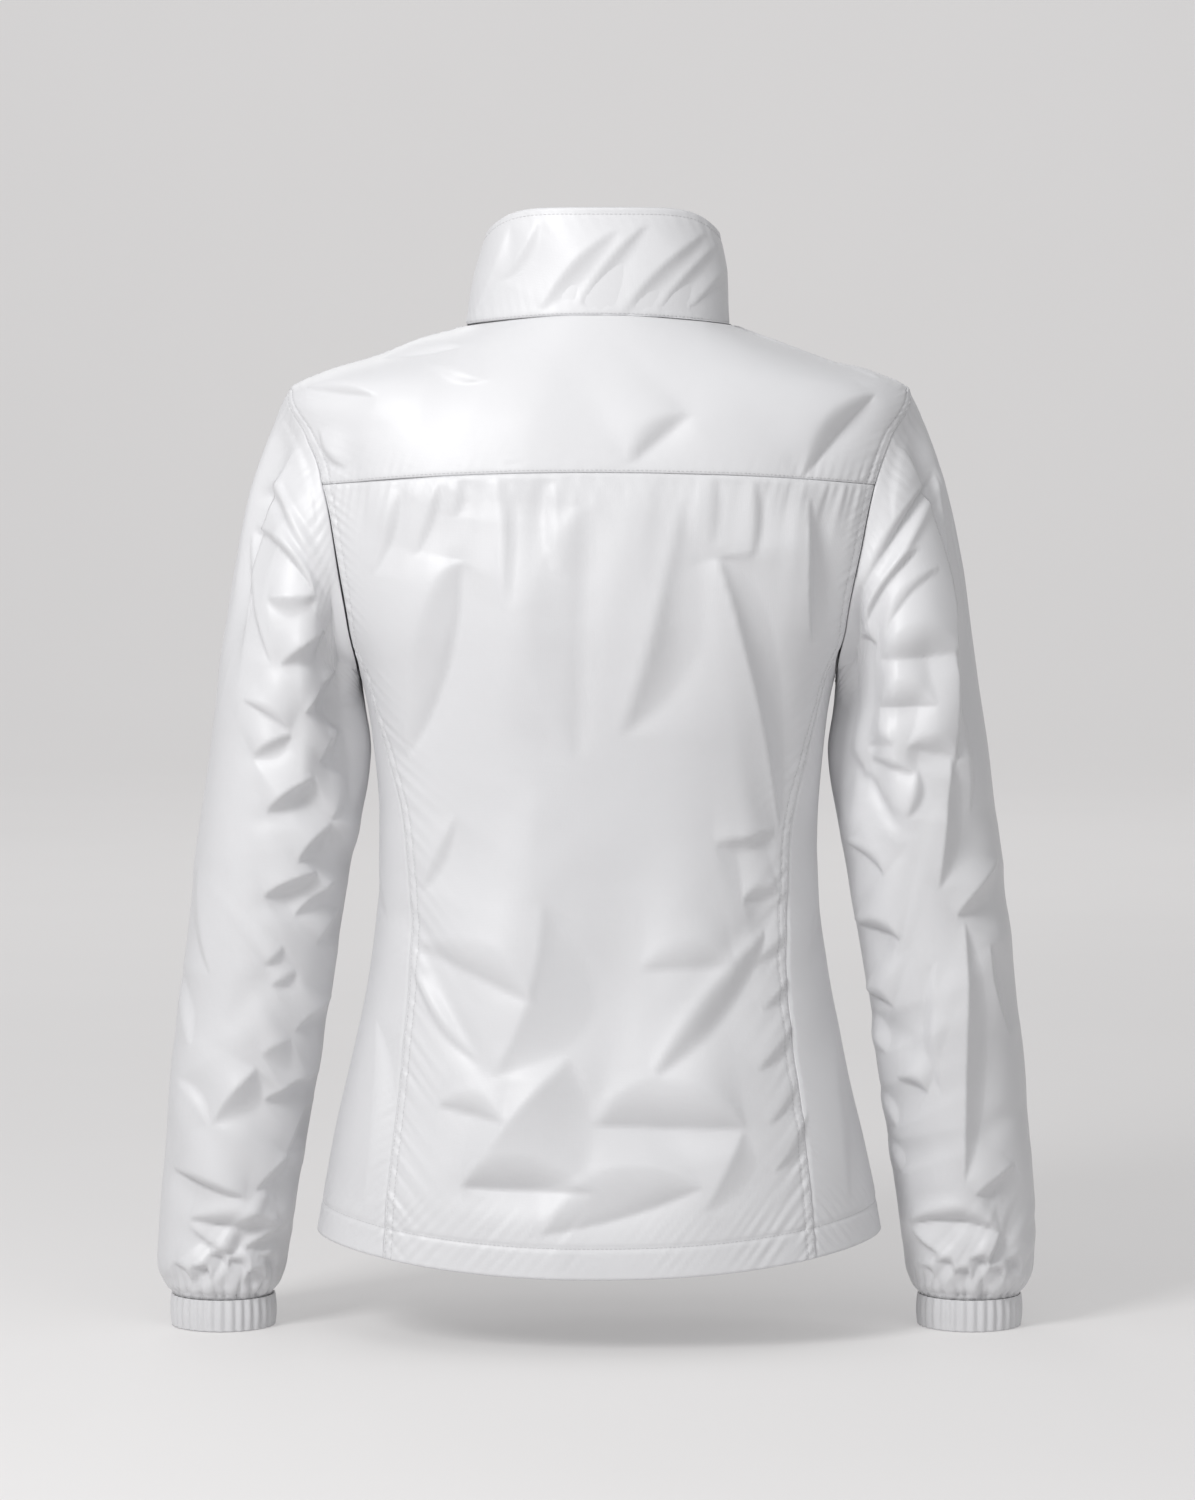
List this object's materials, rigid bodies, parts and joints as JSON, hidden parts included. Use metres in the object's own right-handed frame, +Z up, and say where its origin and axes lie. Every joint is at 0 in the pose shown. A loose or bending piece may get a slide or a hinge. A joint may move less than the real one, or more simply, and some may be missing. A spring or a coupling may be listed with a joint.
{
  "type": "windbreaker jacket",
  "caption": "Hip-length light nylon windbreaker held in its worn shape, with a stand collar, back yoke, curved side panels, full front zip and elastic cuffs.",
  "frame": {"origin": "centre of the neckline seam, inside the collar, where the wearer's neck holds the jacket up", "axes": "+Z up along the wearer's back, +X towards the wearer's left, -Y towards the wearer's front"},
  "size_m": [0.5976, 0.2426, 0.7602],
  "materials": {
    "shell_cloth": "thin pale grey-white nylon with a satin sheen",
    "cuff_cloth": "the same nylon, gathered over elastic",
    "zip_tape": "matt woven tape",
    "zip_metal": "satin metal"
  },
  "bodies": {
    "jacket": {"back_yoke": "shell_cloth", "back_body": "shell_cloth", "side_panel_left": "shell_cloth", "side_panel_right": "shell_cloth", "front_left": "shell_cloth", "front_right": "shell_cloth", "collar": "shell_cloth", "sleeve_left": "shell_cloth", "sleeve_right": "shell_cloth", "cuff_left": "cuff_cloth", "cuff_right": "cuff_cloth", "zip_tape_left": "zip_tape", "zip_tape_right": "zip_tape", "zip_slider": "zip_metal"},
    "pull_tab": {"zip_pull_tab": "zip_metal"}
  },
  "joints": [
    {"name": "pull_tab_hinge", "type": "hinge", "parent": "jacket", "child": "pull_tab", "pos_m": [-0.003, -0.06482, 0.00212], "axis": [-1, 0, 0], "range_deg": [0, 150]}
  ]
}
